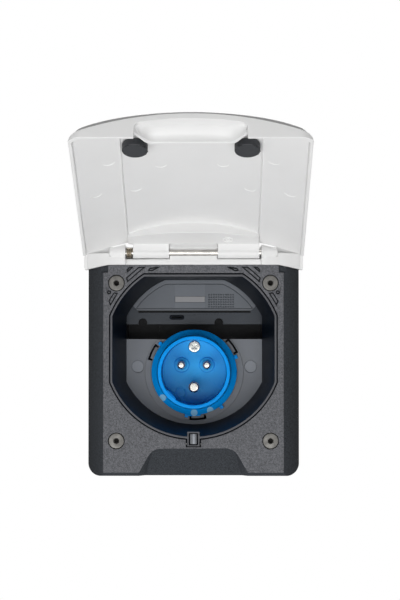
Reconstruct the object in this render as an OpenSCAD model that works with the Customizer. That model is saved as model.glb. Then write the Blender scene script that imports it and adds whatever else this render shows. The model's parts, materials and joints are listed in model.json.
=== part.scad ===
// Outdoor mains inlet with a hinged weather lid, a recess funnel and a rear pot.
// Origin: middle of the four wall screws on the wall plane. +X right, +Y into the wall, +Z up.

/* [Frame] */
// width of the dark frame over its sides
frame_w = 139; // [136:0.5:142]
// height of the frame below the screw centre
frame_low = 74.7; // [73:0.1:77]
// distance of the flat front from the wall
frame_deep = 21; // [20:0.1:21.2]
// width of the flat front between the side bevels
front_w = 118; // [114:0.5:118]
// wall thickness of the moulded frame
wall = 2.5; // [2:0.1:3]
// sideways distance between the wall screws
screw_dx = 101; // [100:0.1:103]
// upright distance between the wall screws
screw_dz = 103.4; // [102:0.1:105]
// radius of a wall screw shank
screw_r = 2; // [1.5:0.1:2.3]
// radius of a wall screw head
screw_head_r = 5.1; // [4.5:0.1:5.3]

/* [Recess] */
// radius of the recess at its mouth
mouth_r = 57.2; // [56:0.1:57.5]
// radius of the recess at its rear
rear_r = 51; // [49:0.1:52]
// half width between the side flats at the mouth
mouth_flat = 53; // [52:0.1:53.5]
// half width between the side flats at the rear
rear_flat = 45.9; // [44.5:0.1:46.5]
// distance of the plate front behind the wall plane
plate_y = 24; // [22:0.1:28]

/* [Inlet] */
// bore radius of the inlet shroud
shroud_r = 21.75; // [21.5:0.05:22.2]
// wall thickness of the shroud at its rim
shroud_wall = 2.5; // [2:0.1:3]
// height of the inlet axis from the screw centre
inlet_z = -7.3; // [-8:0.1:-6.5]
// radius of the circle through the contact pins
pin_circle = 9.9; // [9:0.1:10.5]
// radius of the two current pins
pin_r = 2.5; // [2:0.1:2.6]
// radius of the earth pin
earth_r = 3.5; // [3:0.1:3.6]
// reach of the pins in front of the carrier
pin_out = 26; // [22:0.5:29]

/* [Lid] */
// opening angle of the lid as drawn
lid_open = 115.5; // [90:0.5:116]
// outer width of the lid
lid_w = 144.4; // [144:0.1:147]
// radius of the domed lid front
dome_r = 190; // [185:1:240]
// wall thickness of the lid
lid_wall = 2; // [1.6:0.1:2.2]
// radius of the lid buffers
buffer_r = 7.75; // [6:0.05:8]

/* [Hinge] */
// radius of the hinge pin
hinge_r = 1.75; // [1.5:0.05:2]
// outer radius of the lid knuckles
knuckle_r = 3.6; // [3.2:0.05:3.7]
// radial running clearance of the knuckles on the pin
hinge_clear = 0.05; // [0.02:0.01:0.1]

/* [Rear] */
// outer radius of the rear pot
pot_r = 55.2; // [54.6:0.1:56]
// distance of the rear cover from the wall plane
pot_end = 66; // [64:0.5:74]
// radius of the cable hole through the gland
gland_bore = 5.5; // [4:0.1:6.5]

/* [Hidden] */
$fn = 72;

// frame values
gasket_t = 2;
gasket_gap = 0.3;
frame_top = 63.6;
frame_corner = 8;
bevel_back = -frame_deep + 11;
screw_x = screw_dx / 2;
screw_z = screw_dz / 2;
boss_r = 6;
head_t = 2.4;
head_gap = 0.35;
screw_clear = 0.2;
screw_end = 20;
waist_less = 0.4;
thread_y = -gasket_t + 0.8;
front_t = 3;
corner_x = frame_w / 2 - 13.5;
corner_drop = 0.19;
pocket_deep = 2.2;
pocket_w = 0.75;
scoop_top = -56.5;
scoop_wall = -54.1;
scoop_x = 35.9;
scoop_low = -72.6;
scoop_turn = 30.2;
scoop_draft = 30;
scoop_back = -9;
low_edge = 2.4;

// recess values
recess_z = 8.4;
mouth_top = 55.9;
rear_top = 55.5;
funnel_wall = 2.2;
lip_out = 0.8;
lip_w = 1.4;
groove_w = 0.9;
funnel_front = -frame_deep;
funnel_end = plate_y;
funnel_len = funnel_end - funnel_front;
collar_y = -frame_deep + front_t;
collar_t = 2;
tongue_x = 2.1;
bracket_x = 4.1;
bracket_w = 1.1;
bracket_top = -45.6;
bracket_low = -55.2;
bracket_back = -frame_deep + front_t + 1;
pocket_y = bracket_back - 1.2;

// lid values in the closed pose
hinge_y = -20.5;
hinge_z = 71.5;
lid_top = hinge_z - 2.5;
rim_y = -16.8;
skin_y = -33.5;
lid_low = -frame_low - 1 - lid_wall;
side_r = 4;
dome_y = skin_y + dome_r;
side_x = lid_w / 2 - side_r;
side_y = dome_y - sqrt(pow(dome_r - side_r, 2) - side_x * side_x);
web_x = 42.6;
web_t = 0.8;
web_y = skin_y + lid_wall + web_x * web_x / (2 * dome_r) + 1;
leaf_y = -24;
leaf_z = 50.3;
leaf_bow = 147;
leaf_end = 66;
knuckle_in = 15.9;
knuckle_left = -39.5;
knuckle_right = 43.2;
dam_y = -frame_deep - 0.6;
dam_z = -63.8;
dam_in = 24.5;
dam_out = 33.5;
dam_w = 2;
dam_r = 5;
arc_over = 0.05;
notch_floor = 3.7;
notch_r = 4;
buffer_x = 33.6;
buffer_z = -54.6;
buffer_end = -frame_deep - 0.3;
buffer_seat = buffer_end - 4.9;
buffer_post = 5;

// hinge values
block_x = 44.5;
block_out = 3.4;
block_gap = 0.8;
base_x = lid_w / 2 - 0.2;
base_top = 75.5;
base_front = rim_y + 0.6;
base_low = frame_top - 8.6;
base_roof = 10;
base_fall = 7;
post_w = 8;
strip_top = 67.2;
post_low = strip_top - 1.2;
hinge_seat_top = 69.5;
hinge_seat_gap = 0.3;
hinge_pin_x = 53;
boss_end = hinge_pin_x + 2;
hinge_boss_r = 5.6;
base_screw_x = 0.33 * frame_w + 0.155 * front_w - 3.16;
base_screw_y = -10;
base_screw_r = 1.5;
base_screw_in = 6.4;
base_head_r = 2.9;
base_head_t = 1.8;
pin_hold = 0.02;
spring_wire = 0.55;
spring_turns = 3;

// inlet values
rim_y0 = plate_y - 23;
seat_y = plate_y - 1.2;
carrier_y = rim_y0 + 32;
carrier_t = 12;
body_end = carrier_y + carrier_t + 3;
body_r = 26.5;
base_ring_r = 28.9;
rim_edge = 0.35;
lug_w = 2.6;
lug_len = 4.2;
key_w = 8;
key_in = 1.3;
seal_t = 1.2;
seal_w = 2;
fit_gap = 0.05;
collar_r = 4.8;
collar_groove = 0.5;
pin_gap = 0.9;
shank_less = 0.5;
collar_deep = 0.2;
shank_y = carrier_y - collar_deep;
carrier_screw_z = 17.4;
terminal_y = carrier_y + carrier_t;
terminal_w = 10;
terminal_len = 11;
clamp_y = terminal_y + 8.2;
clamp_r = 1.5;
clamp_head_r = 2.6;
wire_r = 2.2;
carrier_head_r = 3.8;
carrier_screw_r = 1.5;
plate_t = 3;
plate_top = 15.1;
plate_gap = 0.3;
seat_r = 33.3;
slot_r = 32.6;
slot_w = 1.3;
plate_screw_x = 38.3;
plate_screw_z = -3.4;
plate_head_r = 3.9;
plate_screw_r = 1.5;
plate_screw_end = plate_y + 8;

// rear values
pot_set = 0.6;
pot_roof = 3.4;
pot_side = -0.6;
pot_step = 1.8;
pot_wall = 3;
pot_flat = rear_flat + 3.1;
flange_t = 3;
flange_w = 4.2;
flange_r = max(rear_r + flange_w, pot_r);
flange_side = 5.1;
flange_top = 3.4;
ear_out = 3.4;
ear_r = 4.4;
ear_x = 25;
ear_turn = 50;
pot_screw_r = 1.25;
pot_head_r = 2.4;
pot_head_t = 1.6;
cover_hole_in = 5.2;
cover_hole_x = 22;
cover_boss_r = 3;
cover_screw_r = 1.15;
cover_head_r = 2.4;
pot_y = plate_y;
panel_y = plate_y + 10;
panel_low = 34.2;
strip_low = 25.3;
panel_gap = 0.3;
slit_w = 0.7;
panel_edge = 2.8;
panel_line = 0.6;
panel_rise = 1.6;
label_x = -13.2;
label_z = 40.5;
label_w = 20.3;
label_h = 3.7;
label_gap = 0.2;
cell_x = 9.6;
cell_z = 36.9;
cell_step = 1.65;
cell_w = 1.05;
cell_deep = 0.5;
clip_x = -12.1;
clip_z = 30;
clip_half = 3.5;
clip_r = 1.4;
cover_t = 3;
gland_y = plate_y + 30;
gland_thread_r = 8;
gland_thread_in = 7;
gland_neck_r = 7;
gland_hex_r = 12;
gland_boss_r = 11;
gland_hex_t = 3;
gland_neck = 7.5;
gland_bore_gap = 0.4;
nut_low = 9;
nut_t = 5.8;
nut_cap = 1.6;
gland_low = recess_z - pot_r;

// flat sketches carried along one axis
module along_y(y0, y1) {
  translate([0, y1, 0]) rotate([90, 0, 0]) linear_extrude(height = y1 - y0) children();
}

module along_z(z0, z1) {
  translate([0, 0, z0]) linear_extrude(height = z1 - z0) children();
}

module along_x(x0, x1) {
  translate([x0, 0, 0]) rotate([90, 0, 90]) linear_extrude(height = x1 - x0) children();
}

module rod_y(r, y0, y1, x, z) {
  translate([x, y1, z]) rotate([90, 0, 0]) cylinder(r = r, h = y1 - y0);
}

module cone_y(r0, r1, y0, y1, x, z) {
  translate([x, y1, z]) rotate([90, 0, 0]) cylinder(r1 = r1, r2 = r0, h = y1 - y0);
}

module rod_x(r, x0, x1, y, z) {
  translate([x0, y, z]) rotate([0, 90, 0]) cylinder(r = r, h = x1 - x0);
}

module cone_x(r0, r1, x0, x1, y, z) {
  translate([x0, y, z]) rotate([0, 90, 0]) cylinder(r1 = r0, r2 = r1, h = x1 - x0);
}

module both() {
  children();
  mirror([1, 0, 0]) children();
}

module slot_2d(xa, za, xb, zb, r) {
  long = sqrt(pow(xb - xa, 2) + pow(zb - za, 2));
  translate([xa, za]) circle(r = r);
  translate([xb, zb]) circle(r = r);
  translate([xa, za]) rotate(atan2(zb - za, xb - xa)) translate([0, -0.99 * r]) square([long, 1.98 * r]);
}

// circle with two side flats and a flat top
module recess_2d(r, flat, top) {
  intersection() {
    translate([0, recess_z]) circle(r = r, $fn = 144);
    translate([-flat, recess_z - r - 1]) square([2 * flat, top - recess_z + r + 1]);
  }
}

// outline of the frame seen from the front
module outline_2d(g) {
  half = frame_w / 2 - g;
  low = -frame_low + g;
  r = frame_corner - min(g, frame_corner - 1);
  translate([-half, low + r]) square([2 * half, frame_top - g - low - r]);
  translate([-half + r, low]) square([2 * half - 2 * r, r + 1]);
  translate([-half + r, low + r]) circle(r = r);
  translate([half - r, low + r]) circle(r = r);
}

// plan section of the frame, side bevels included
module frame_section(g, y1) {
  half = frame_w / 2 - g;
  front = front_w / 2 - g * 0.6;
  polygon([[-half, y1], [-half, bevel_back + g * 0.3], [-front, -frame_deep + g],
    [front, -frame_deep + g], [half, bevel_back + g * 0.3], [half, y1]]);
}

// slanted cut that lowers both top corners for the hinge base
module top_corner_2d(lift) {
  polygon([[corner_x, frame_top + lift], [90, frame_top + lift - (90 - corner_x) * corner_drop],
    [90, 90], [corner_x, 90]]);
}

// upper end of the cable scoop, wider than the slanted sides below
module scoop_2d(low) {
  side = [[46, low], [34, -66.4], [27.3, -58.9], [25.4, -57.6], [21.8, scoop_top]];
  polygon([for (p = side) p, for (k = [len(side) - 1 : -1 : 0]) [-side[k][0], side[k][1]]]);
}

// room inside one slanted side of the scoop
module scoop_side() {
  translate([-scoop_x, -frame_deep, scoop_low]) rotate([0, scoop_turn, 0]) rotate([0, 0, -scoop_draft])
    translate([0, -40, -60]) cube([120, 80, 120]);
}

// inward normal of an edge and corners of a convex outline moved in by w
function edge_in(a, b) = let (d = (b - a) / norm(b - a)) [-d[1], d[0]];
function inset(pts, w) = [for (i = [0 : len(pts) - 1])
  let (n = len(pts), m0 = edge_in(pts[(i + n - 1) % n], pts[i]), m1 = edge_in(pts[i], pts[(i + 1) % n]))
  pts[i] + w * (m0 + m1) / (1 + m0 * m1)];

// grooves around the flush pads in one upper corner
module pockets_2d() {
  pads = [[[-43.4, 58.5], [-39, 62.4], [-42, 62.4], [-43.9, 60.4]],
    [[-43.4, 52], [-31.3, 62.4], [-35.8, 62.4], [-44.2, 55.2]],
    [[-30, 59.8], [-27.2, 59.4], [-21.4, 62.4], [-24.6, 62.4], [-28.8, 61.5]],
    [[-54.4, 36.7], [-49.2, 45.2], [-52.3, 45.6], [-55.8, 39.9]]];
  for (pad = pads) difference() {
    polygon(pad);
    polygon(inset(pad, pocket_w));
  }
  translate([-55.3, 45.6]) difference() {
    circle(r = 1.3);
    circle(r = 0.6);
  }
}

module front_frame() {
  top_y = -frame_deep;
  color([0.25, 0.26, 0.28]) difference() {
    union() {
      difference() {
        intersection() {
          along_z(-frame_low, frame_top) frame_section(0, -gasket_t);
          along_y(top_y - 1, 1) outline_2d(0);
        }
        intersection() {
          along_z(-frame_low - 1, frame_top + 1) frame_section(front_t, 1);
          along_y(top_y - 1, 1) outline_2d(wall);
        }
      }
      for (sx = [-1, 1], sz = [-1, 1])
        rod_y(boss_r, top_y + 1, -gasket_t, sx * screw_x, sz * screw_z);
      intersection() {
        along_z(-frame_low, scoop_wall) frame_section(1, -gasket_t - 6);
        along_y(top_y - 1, 1) outline_2d(1);
        translate([-39, -60, -80]) cube([78, 80, 60]);
        along_x(-50, 50) polygon([[top_y, scoop_wall], [top_y + 6.5, scoop_wall], [scoop_back, -72],
          [scoop_back, -80], [top_y, -80]]);
      }
    }
    along_y(top_y - 1, collar_y + 1) recess_2d(mouth_r + lip_w + groove_w, mouth_flat + lip_w + groove_w,
      mouth_top + lip_w + groove_w);
    translate([-bracket_x - groove_w, top_y - 1, bracket_low - 0.6])
      cube([2 * bracket_x + 2 * groove_w, front_t + 2.3, 12]);
    for (sx = [-1, 1], sz = [-1, 1]) {
      rod_y(screw_r + screw_clear, top_y - 1, 1, sx * screw_x, sz * screw_z);
      rod_y(screw_head_r + head_gap, top_y - 1, top_y + head_t + 0.1, sx * screw_x, sz * screw_z);
    }
    both() along_y(top_y - 1, top_y + pocket_deep) pockets_2d();
    both() along_y(top_y - 1, 1) top_corner_2d(0);
    both() translate([corner_x, top_y - 1, 58.6]) cube([20, 3, 10]);
    intersection() {
      along_y(top_y - 1, 0) scoop_2d(-frame_low - 1);
      scoop_side();
      mirror([1, 0, 0]) scoop_side();
      along_x(-60, 60) polygon([[top_y, scoop_top], [top_y - 5, scoop_top + 6], [top_y - 5, -80], [-11, -80],
        [-12.5, -74.7]]);
    }
    along_x(-90, 90) polygon([[top_y - 1, -frame_low + low_edge], [top_y, -frame_low + low_edge],
      [top_y + low_edge + 0.2, -frame_low - 0.1], [top_y - 1, -frame_low - 0.1]]);
    for (sx = [-1, 1]) translate([sx * base_screw_x, base_screw_y, frame_top - 6])
      cylinder(r = base_screw_r + screw_clear, h = 12);
  }
}

module wall_gasket() {
  color([0.1, 0.1, 0.1]) difference() {
    along_y(-gasket_t, 0) outline_2d(0.6);
    along_y(-gasket_t - 1, 1) outline_2d(8.5);
    recess_solid(funnel_wall + gasket_gap, -gasket_t - 1, 1);
    both() along_y(-gasket_t - 1, 1) top_corner_2d(-0.6);
    for (sx = [-1, 1], sz = [-1, 1])
      rod_y(screw_r + screw_clear, -gasket_t - 1, 1, sx * screw_x, sz * screw_z);
  }
}

module frame_screws() {
  color([0.62, 0.62, 0.6]) for (sx = [-1, 1], sz = [-1, 1]) difference() {
    union() {
      rod_y(screw_head_r, -frame_deep, -frame_deep + head_t, sx * screw_x, sz * screw_z);
      rod_y(screw_r - waist_less, -frame_deep + head_t - 0.5, thread_y + 0.5, sx * screw_x, sz * screw_z);
      rod_y(screw_r, thread_y, screw_end, sx * screw_x, sz * screw_z);
    }
    translate([sx * screw_x, -frame_deep - 1, sz * screw_z]) rotate([-90, 0, 0])
      cylinder(r = 2, h = 3, $fn = 6);
  }
}

// solid inside of the recess, grown by g
module recess_solid(g, y0, y1) {
  slope = (mouth_r - rear_r) / funnel_len;
  side = (mouth_flat - rear_flat) / funnel_len;
  fall = (mouth_top - rear_top) / funnel_len;
  a = y0 - funnel_front;
  b = y1 - funnel_front;
  intersection() {
    cone_y(mouth_r + g - slope * a, mouth_r + g - slope * b, y0, y1, 0, recess_z);
    along_z(-90, 90) polygon([[-mouth_flat - g + side * a, y0], [mouth_flat + g - side * a, y0],
      [mouth_flat + g - side * b, y1], [-mouth_flat - g + side * b, y1]]);
    along_x(-90, 90) polygon([[y0, -90], [y1, -90], [y1, mouth_top + g - fall * b],
      [y0, mouth_top + g - fall * a]]);
  }
}

module recess_funnel() {
  color([0.12, 0.14, 0.17]) difference() {
    union() {
      recess_solid(lip_w, funnel_front - lip_out, collar_y);
      difference() {
        recess_solid(funnel_wall, collar_y, funnel_end);
        for (sx = [-1, 1]) rod_y(boss_r + 0.4, -frame_deep, 0, sx * screw_x, screw_z);
      }
      difference() {
        along_y(collar_y, collar_y + collar_t) recess_2d(mouth_r + 5, mouth_flat + 4.5, mouth_top + 4);
        for (sx = [-1, 1]) rod_y(boss_r + 0.4, -frame_deep, 0, sx * screw_x, screw_z);
      }
      along_y(funnel_end - flange_t, funnel_end) flange_2d();
      translate([-bracket_x, -frame_deep - lip_out, bracket_low])
        cube([2 * bracket_x, bracket_back + frame_deep + lip_out, bracket_top - bracket_low]);
    }
    difference() {
      recess_solid(0, funnel_front - lip_out - 1, funnel_end + 1);
      translate([-bracket_x, -frame_deep - lip_out, bracket_low])
        cube([2 * bracket_x, bracket_back + frame_deep + lip_out, bracket_top - bracket_low]);
    }
    translate([-bracket_x + bracket_w, -frame_deep - 3, bracket_low + 0.8])
      cube([2 * bracket_x - 2 * bracket_w, pocket_y + frame_deep + 3, bracket_top - bracket_low - 1.8]);
    pot_holes(pot_screw_r + fit_gap, funnel_end - flange_t - 1, funnel_end + 1);
  }
}

module lock_tongue() {
  low = bracket_low + 1.4;
  color([0.45, 0.46, 0.48]) translate([-tongue_x, -frame_deep - 0.2, low])
    cube([2 * tongue_x, pocket_y + frame_deep + 0.2, bracket_top - 1.5 - low]);
}

// places of the four screws that join the funnel and the pot, two on top and two below
function ear_at(i) = let (s = i % 2 == 0 ? -1 : 1, r = flange_r + ear_out)
  i < 2 ? [s * ear_x, rear_top + flange_top + ear_out - 0.4]
    : [s * r * cos(ear_turn), recess_z - r * sin(ear_turn)];

// joint flange with a screw ear at each place
module flange_2d() {
  recess_2d(flange_r, rear_flat + flange_side, rear_top + flange_top);
  for (i = [0 : 3]) translate(ear_at(i)) circle(r = ear_r);
}

module pot_holes(r, y0, y1) {
  for (i = [0 : 3]) rod_y(r, y0, y1, ear_at(i)[0], ear_at(i)[1]);
}

// lid skin section, shrunk by g, from the dome to y1
module lid_section(g, y1) {
  tangent = side_x * dome_r / (dome_r - side_r);
  intersection() {
    translate([0, dome_y]) circle(r = dome_r - g, $fn = 360);
    union() {
      translate([-tangent, skin_y - 5]) square([2 * tangent, y1 - skin_y + 5]);
      for (s = [-1, 1]) translate([s * side_x, side_y]) circle(r = side_r - g);
      translate([-lid_w / 2 + g, side_y]) square([lid_w - 2 * g, lid_w]);
    }
    translate([-100, skin_y - 5]) square([200, y1 - skin_y + 5]);
  }
}

module lid_plan_2d(g) {
  half = lid_w / 2 + 1;
  r = 9;
  translate([-half + g, lid_low + g + r]) square([2 * half - 2 * g, lid_top - lid_low - r - g]);
  translate([-half + g + r, lid_low + g]) square([2 * half - 2 * g - 2 * r, r + 1]);
  for (s = [-1, 1]) translate([s * (half - g - r), lid_low + g + r]) circle(r = r);
}

// plan of the cable notch, grown by g, with round inner corners
module dam_2d(g) {
  start = lid_low + lid_wall;
  side = atan2(dam_z - start, dam_out - dam_in);
  r = dam_r + g;
  t = r * tan(side / 2);
  corner = [dam_in + g * tan(side / 2), dam_z + g];
  half = [[dam_out + g, lid_low - 1], [dam_out + g, start], corner + t * [cos(side), -sin(side)],
    corner - [t, 0]];
  polygon([for (p = half) p, for (k = [len(half) - 1 : -1 : 0]) [-half[k][0], half[k][1]]]);
  for (s = [-1, 1]) translate([s * (corner[0] - t), corner[1] - r]) circle(r = r + arc_over);
}

// room of the cable notch: the dome set in, round side corners and a round step up to the dam
module lid_notch() {
  floor_y = skin_y + notch_floor;
  turn_x = dam_out - dam_r;
  turn_y = floor_y + turn_x * turn_x / (2 * dome_r) + dam_r;
  intersection() {
    along_z(lid_low - 2, dam_z + dam_r) intersection() {
      lid_section(notch_floor, rim_y + 2);
      union() {
        translate([-turn_x, skin_y]) square([2 * turn_x, 40]);
        translate([-dam_out - 1, turn_y]) square([2 * dam_out + 2, 40]);
        for (s = [-1, 1]) translate([s * turn_x, turn_y]) circle(r = dam_r);
      }
    }
    along_y(skin_y, rim_y + 3) dam_2d(0);
    along_x(-dam_out - 2, dam_out + 2) union() {
      translate([skin_y, lid_low - 2]) square([40, dam_z - notch_r - lid_low + 2]);
      translate([floor_y + notch_r, lid_low - 2]) square([40, dam_z - lid_low + 3]);
      translate([floor_y + notch_r, dam_z - notch_r]) circle(r = notch_r);
    }
  }
}

// bowed edge of the hinge leaf
module leaf_2d() {
  intersection() {
    translate([0, leaf_z + leaf_bow]) circle(r = leaf_bow, $fn = 180);
    translate([-web_x, leaf_z - 1]) square([2 * web_x, leaf_end - leaf_z + 1]);
  }
}

module swing(a) {
  translate([0, hinge_y, hinge_z]) rotate([-a, 0, 0]) translate([0, -hinge_y, -hinge_z]) children();
}

module lid_closed() {
  difference() {
    union() {
      difference() {
        intersection() {
          along_z(lid_low, lid_top) lid_section(0, rim_y);
          along_y(skin_y - 2, rim_y + 1) lid_plan_2d(0);
        }
        difference() {
          intersection() {
            along_z(lid_low - 1, lid_top + 1) lid_section(lid_wall, rim_y + 1);
            along_y(skin_y - 2, rim_y + 2) union() {
              lid_plan_2d(lid_wall);
              translate([-90, lid_top - 20]) square([180, 30]);
            }
          }
          along_y(skin_y - 1, leaf_y) leaf_2d();
          for (s = [-1, 1]) translate([s * web_x - web_t / 2, skin_y, lid_low + 1])
            cube([web_t, web_y - skin_y, leaf_end - lid_low - 1]);
          for (s = [-1, 1]) rod_y(buffer_post, skin_y + 1, buffer_seat, s * buffer_x, buffer_z);
          along_y(skin_y, dam_y) dam_2d(dam_w);
        }
      }
      intersection() {
        along_x(knuckle_left, knuckle_right) polygon([[skin_y + 0.4, 64], [skin_y + 0.4, lid_top],
          [hinge_y, hinge_z + knuckle_r], [hinge_y, hinge_z - knuckle_r], [leaf_y, 65.8], [leaf_y, 64]]);
        along_z(60, 90) lid_section(0.2, rim_y + 9);
      }
      rod_x(knuckle_r, knuckle_left, -knuckle_in, hinge_y, hinge_z);
      rod_x(knuckle_r, knuckle_in, knuckle_right, hinge_y, hinge_z);
    }
    lid_notch();
    rod_x(hinge_r + hinge_clear, -hinge_pin_x, hinge_pin_x, hinge_y, hinge_z);
    translate([-knuckle_in, leaf_y - 1.5, hinge_z - 6]) cube([2 * knuckle_in, 30, 20]);
  }
}

module lid_cover() {
  color([0.93, 0.93, 0.91]) swing(lid_open) lid_closed();
}

module buffer(s) {
  color([0.12, 0.12, 0.13]) swing(lid_open) difference() {
    rod_y(buffer_r, buffer_seat, buffer_end, s * buffer_x, buffer_z);
    along_y(skin_y, rim_y) dam_2d(dam_w + 0.2);
  }
}

module buffer_left() {
  buffer(-1);
}

module buffer_right() {
  buffer(1);
}

// hollow seat of the hinge base behind the knuckles
module hinge_seat() {
  difference() {
    along_x(-block_x, block_x) translate([hinge_y, strip_top - 1])
      square([base_front - hinge_y + 0.8, hinge_seat_top - strip_top + 1]);
    rod_x(knuckle_r + hinge_seat_gap, -block_x - 1, block_x + 1, hinge_y, hinge_z);
  }
}

module hinge_base() {
  color([0.92, 0.92, 0.9]) difference() {
    union() {
      intersection() {
        along_x(-base_x, base_x) polygon([[base_front, base_low], [base_front, base_top],
          [base_front + base_roof, base_top], [-gasket_t, base_top - base_fall], [-gasket_t, base_low]]);
        along_y(-40, 5) base_2d();
      }
      along_x(-block_x, block_x) translate([-frame_deep, frame_top])
        square([frame_deep + base_front + 0.6, strip_top - frame_top]);
      hinge_seat();
      both() intersection() {
        along_z(base_low, hinge_z) lid_section(lid_wall + block_gap, base_front + 1.2);
        along_x(block_x, base_x) translate([-frame_deep - block_out, base_low])
          square([frame_deep, hinge_z - base_low]);
        along_y(-40, 5) base_2d();
      }
      both() {
        cone_x(hinge_boss_r, knuckle_r - 0.4, block_x, boss_end, hinge_y, hinge_z);
        translate([block_x, hinge_y, post_low]) cube([post_w, base_front - hinge_y + 1, post_w]);
      }
    }
    difference() {
      translate([-block_x, base_front + 0.6, strip_top]) mirror([0, 1, 0]) cube([2 * block_x, 20, 20]);
      hinge_seat();
    }
    rod_x(hinge_r + pin_hold, -hinge_pin_x - 0.3, hinge_pin_x + 0.3, hinge_y, hinge_z);
    for (sx = [-1, 1]) translate([sx * base_screw_x, base_screw_y, frame_top - 6])
      cylinder(r = base_screw_r + fit_gap, h = 6 + base_screw_in + 0.6);
  }
}

// underside of the hinge base, lowered at both corners of the frame
module base_2d() {
  polygon([[-90, frame_top - (90 - corner_x) * corner_drop], [-corner_x, frame_top],
    [corner_x, frame_top], [90, frame_top - (90 - corner_x) * corner_drop], [90, 90], [-90, 90]]);
}

module base_screws() {
  color([0.6, 0.6, 0.6]) for (sx = [-1, 1]) {
    translate([sx * base_screw_x, base_screw_y, frame_top - wall - 0.5])
      cylinder(r = base_screw_r, h = wall + 0.5 + base_screw_in);
    translate([sx * base_screw_x, base_screw_y, frame_top - wall - base_head_t])
      cylinder(r = base_head_r, h = base_head_t);
  }
}

module hinge_pin() {
  color([0.75, 0.75, 0.74]) rod_x(hinge_r, -hinge_pin_x, hinge_pin_x, hinge_y, hinge_z);
}

module hinge_spring() {
  pitch = 2 * spring_wire + 0.1;
  color([0.4, 0.38, 0.35]) for (i = [0 : spring_turns - 1])
    translate([-block_x + 1 + pitch * i, hinge_y, hinge_z]) rotate([0, 90, 0])
      rotate_extrude($fn = 48) translate([hinge_r + spring_wire + 0.4, 0]) circle(r = spring_wire, $fn = 16);
}

// section of the rear pot, shrunk by g
module pot_2d(g) {
  recess_2d(pot_r - pot_set - g, pot_flat - pot_side - g, rear_top + pot_roof - g);
}

module rear_pot() {
  color([0.14, 0.15, 0.17]) difference() {
    union() {
      along_y(pot_y, pot_y + flange_t) flange_2d();
      along_y(pot_y, pot_end) pot_2d(0);
      translate([0, gland_y, recess_z - pot_r]) cylinder(r = gland_boss_r, h = 12);
    }
    along_y(pot_y - 1, pot_y + plate_t) pot_2d(pot_step);
    difference() {
      along_y(pot_y, pot_end + 1) pot_2d(pot_wall);
      cover_holes(cover_boss_r, pot_end - 10, pot_end);
    }
    pot_holes(pot_screw_r + screw_clear, pot_y - 1, pot_y + flange_t + 1);
    translate([0, gland_y, recess_z - pot_r - 1]) cylinder(r = gland_thread_r + fit_gap, h = 20);
    cover_holes(cover_screw_r + fit_gap, pot_end - 9, pot_end + 1);
  }
}

// places of the rear cover screws, in bosses inside the pot
function cover_at(i) = let (s = i % 2 == 0 ? -1 : 1, r = pot_r - cover_hole_in - 1)
  i < 2 ? [s * cover_hole_x, min(rear_top - 2, recess_z + sqrt(pow(r + 1, 2) - pow(cover_hole_x, 2)))]
    : [s * r * cos(ear_turn), recess_z - r * sin(ear_turn)];

module cover_holes(r, y0, y1) {
  for (i = [0 : 3]) rod_y(r, y0, y1, cover_at(i)[0], cover_at(i)[1]);
}

module pot_screws() {
  color([0.6, 0.6, 0.6]) {
    pot_holes(pot_screw_r, pot_y - 2.8, pot_y + flange_t + 0.1);
    pot_holes(pot_head_r, pot_y + flange_t, pot_y + flange_t + pot_head_t);
  }
}

module inlet_plate() {
  y0 = plate_y;
  color([0.44, 0.45, 0.46]) difference() {
    union() {
      along_y(y0, y0 + plate_t - 0.1) intersection() {
        pot_2d(pot_step + plate_gap);
        translate([-60, -60]) square([120, plate_top + 60]);
      }
      intersection() {
        rod_y(seat_r, seat_y, y0, 0, inlet_z);
        along_y(seat_y - 1, y0 + 2) translate([-60, -60]) square([120, plate_top - 0.2 + 60]);
        recess_solid(-0.6, seat_y - 1, y0 + 2);
      }
    }
    rod_y(body_r + 0.35, y0 - 5, y0 + 9, 0, inlet_z);
    for (a = [20, 140, 260]) lug_slot(a);
    for (s = [-1, 1]) {
      rod_y(plate_head_r + 0.5, y0 - 1, y0 + 0.8, s * plate_screw_x, plate_screw_z);
      rod_y(plate_screw_r + 0.1, y0 - 1, y0 + 9, s * plate_screw_x, plate_screw_z);
    }
  }
}

// ring sector between two radii and two angles about the inlet axis
module ring_sector(r0, r1, a0, a1, y0, y1) {
  intersection() {
    difference() {
      rod_y(r1, y0, y1, 0, inlet_z);
      rod_y(r0, y0 - 1, y1 + 1, 0, inlet_z);
    }
    translate([0, 0, inlet_z]) along_y(y0 - 2, y1 + 2)
      polygon([[0, 0], 2 * r1 * [cos(a0), sin(a0)], 2 * r1 * [cos(a1), sin(a1)]]);
  }
}

// arc slot in the plate beside each bayonet lug, open round a lower pad
module lug_slot(a) {
  difference() {
    ring_sector(29.6, slot_r, a + 4, a + 25, seat_y - 2, plate_y + plate_t + 1);
    ring_sector(29, slot_r - slot_w, a + 6.5, a + 22.5, plate_y - 0.2, plate_y + plate_t + 3);
  }
}

module plate_screws() {
  color([0.42, 0.43, 0.44]) for (s = [-1, 1]) {
    rod_y(plate_head_r, plate_y + 0.4, plate_y + 0.8, s * plate_screw_x, plate_screw_z);
    rod_y(plate_screw_r, plate_y + 0.7, plate_screw_end, s * plate_screw_x, plate_screw_z);
  }
}

module inlet_seal() {
  color([0.08, 0.08, 0.08]) difference() {
    rod_y(body_r + seal_w, plate_y + plate_t - 0.1, plate_y + plate_t + seal_t, 0, inlet_z);
    rod_y(body_r + fit_gap, plate_y, plate_y + 6, 0, inlet_z);
  }
}

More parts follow.
